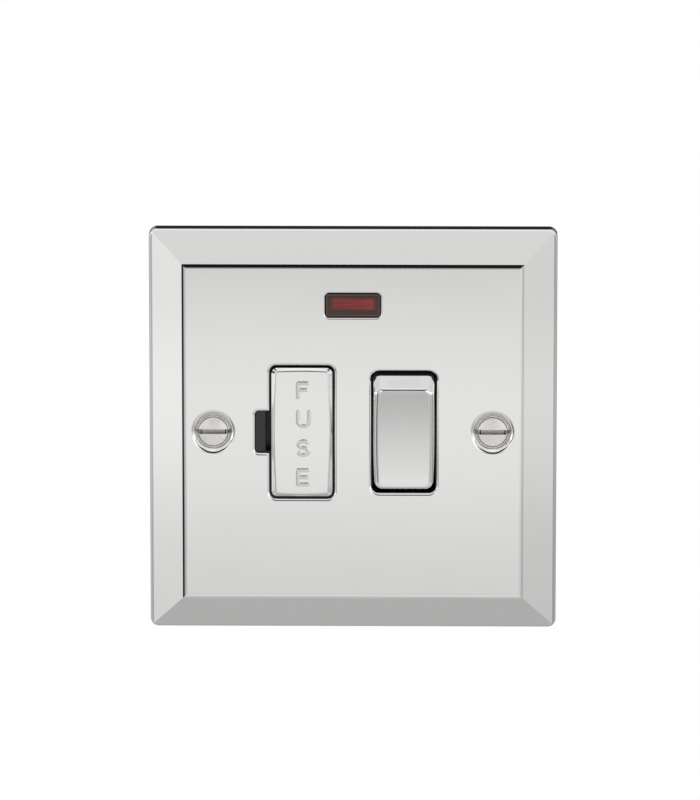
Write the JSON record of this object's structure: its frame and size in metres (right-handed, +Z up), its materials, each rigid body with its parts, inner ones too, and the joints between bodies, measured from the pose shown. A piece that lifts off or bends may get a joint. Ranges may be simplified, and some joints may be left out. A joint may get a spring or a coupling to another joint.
{
  "type": "switched fused spur unit with neon indicator",
  "caption": "Square bevelled wall plate with a pull-out fuse carrier, a double-pole rocker switch and a red neon window, fixed by screws at its sides; terminals open at the back.",
  "frame": {"origin": "middle of the square plate, on the wall plane, halfway between the two fixing screws", "axes": "+X to the right and +Z up as seen from the room, +Y into the wall, so the front looks to -Y"},
  "size_m": [0.088, 0.0319, 0.088],
  "materials": {
    "chrome_plate": "polished chrome",
    "fixing_chrome": "chrome-plated steel",
    "black_moulding": "black moulding, semi-gloss",
    "rear_moulding": "black moulding, matt",
    "pillar_steel": "zinc-plated, turned",
    "screw_steel": "zinc-plated",
    "terminal_brass": "machined",
    "clamp_steel": "zinc-plated",
    "strip_brass": "pressed strip",
    "contact_silver": "silver",
    "plunger_nylon": "natural nylon",
    "spring_steel": "spring wire",
    "fuse_ceramic": "glazed ceramic",
    "fuse_caps": "nickel-plated",
    "red_lens": "clear red, ribbed inside",
    "lamp_glass": "clear glass",
    "resistor_body": "lacquered",
    "tinned_wire": "tinned"
  },
  "bodies": {
    "base": {"faceplate": "chrome_plate", "fixing_screw_left": "fixing_chrome", "fixing_screw_right": "fixing_chrome", "front_housing": "black_moulding", "rear_cover": "rear_moulding", "plate_pillar_left_top": "pillar_steel", "plate_pillar_right_top": "pillar_steel", "plate_pillar_left_bottom": "pillar_steel", "plate_pillar_right_bottom": "pillar_steel", "assembly_screw_left_top": "screw_steel", "assembly_screw_right_top": "screw_steel", "assembly_screw_left_bottom": "screw_steel", "assembly_screw_right_bottom": "screw_steel", "load_live_terminal": "terminal_brass", "load_earth_terminal": "terminal_brass", "load_neutral_terminal": "terminal_brass", "supply_earth_terminal": "terminal_brass", "supply_live_terminal": "terminal_brass", "supply_neutral_terminal": "terminal_brass", "load_live_clamp_screw": "clamp_steel", "load_earth_clamp_screw": "clamp_steel", "load_neutral_clamp_screw": "clamp_steel", "supply_earth_clamp_screw": "clamp_steel", "supply_live_clamp_screw": "clamp_steel", "supply_neutral_clamp_screw": "clamp_steel", "fuse_clip_top": "strip_brass", "fuse_clip_bottom": "strip_brass", "load_neutral_strip": "strip_brass", "supply_live_strip": "strip_brass", "supply_neutral_strip": "strip_brass", "earth_strap": "strip_brass", "fixed_tip_live": "contact_silver", "fixed_tip_neutral": "contact_silver", "neon_lens": "red_lens", "neon_lamp": "lamp_glass", "neon_resistor": "resistor_body", "neon_lead_live": "tinned_wire", "neon_lead_neutral": "tinned_wire", "neon_link": "tinned_wire"},
    "rocker_body": {"rocker": "black_moulding", "rocker_cap": "chrome_plate", "plunger_spring_live": "spring_steel", "plunger_spring_neutral": "spring_steel"},
    "plunger_live_body": {"plunger_live": "plunger_nylon"},
    "plunger_neutral_body": {"plunger_neutral": "plunger_nylon"},
    "contact_live_body": {"moving_contact_live": "strip_brass", "moving_tip_live": "contact_silver"},
    "contact_neutral_body": {"moving_contact_neutral": "strip_brass", "moving_tip_neutral": "contact_silver"},
    "carrier_body": {"fuse_carrier": "black_moulding", "fuse_carrier_cap": "chrome_plate", "fuse_tube": "fuse_ceramic", "fuse_cap_top": "fuse_caps", "fuse_cap_bottom": "fuse_caps"}
  },
  "joints": [
    {"name": "rocker_tilt", "type": "hinge", "parent": "base", "child": "rocker_body", "pos_m": [0.011, -0.0001, 0], "axis": [-1, 0, 0], "range_deg": [0, 14]},
    {"name": "contact_live_tilt", "type": "hinge", "parent": "base", "child": "contact_live_body", "pos_m": [0.0077, 0.009, 0], "axis": [1, 0, 0], "range_deg": [0, 12]},
    {"name": "contact_neutral_tilt", "type": "hinge", "parent": "base", "child": "contact_neutral_body", "pos_m": [0.0143, 0.009, 0], "axis": [1, 0, 0], "range_deg": [0, 12]},
    {"name": "plunger_live_push", "type": "slide", "parent": "rocker_body", "child": "plunger_live_body", "axis": [0, -0.9925, -0.1219], "range_m": [0, 0.0006], "stiffness_N_per_m": 800, "springref_m": -0.002, "deforming": ["plunger_spring_live"]},
    {"name": "plunger_neutral_push", "type": "slide", "parent": "rocker_body", "child": "plunger_neutral_body", "axis": [0, -0.9925, -0.1219], "range_m": [0, 0.0006], "stiffness_N_per_m": 800, "springref_m": -0.002, "deforming": ["plunger_spring_neutral"]},
    {"name": "carrier_pull", "type": "slide", "parent": "base", "child": "carrier_body", "axis": [0, -1, 0], "range_m": [0, 0.014]}
  ],
  "couplings": [
    {"joint": "contact_live_tilt", "follows": "rocker_tilt", "ratio": 0.85714},
    {"joint": "contact_neutral_tilt", "follows": "rocker_tilt", "ratio": 0.85714}
  ]
}
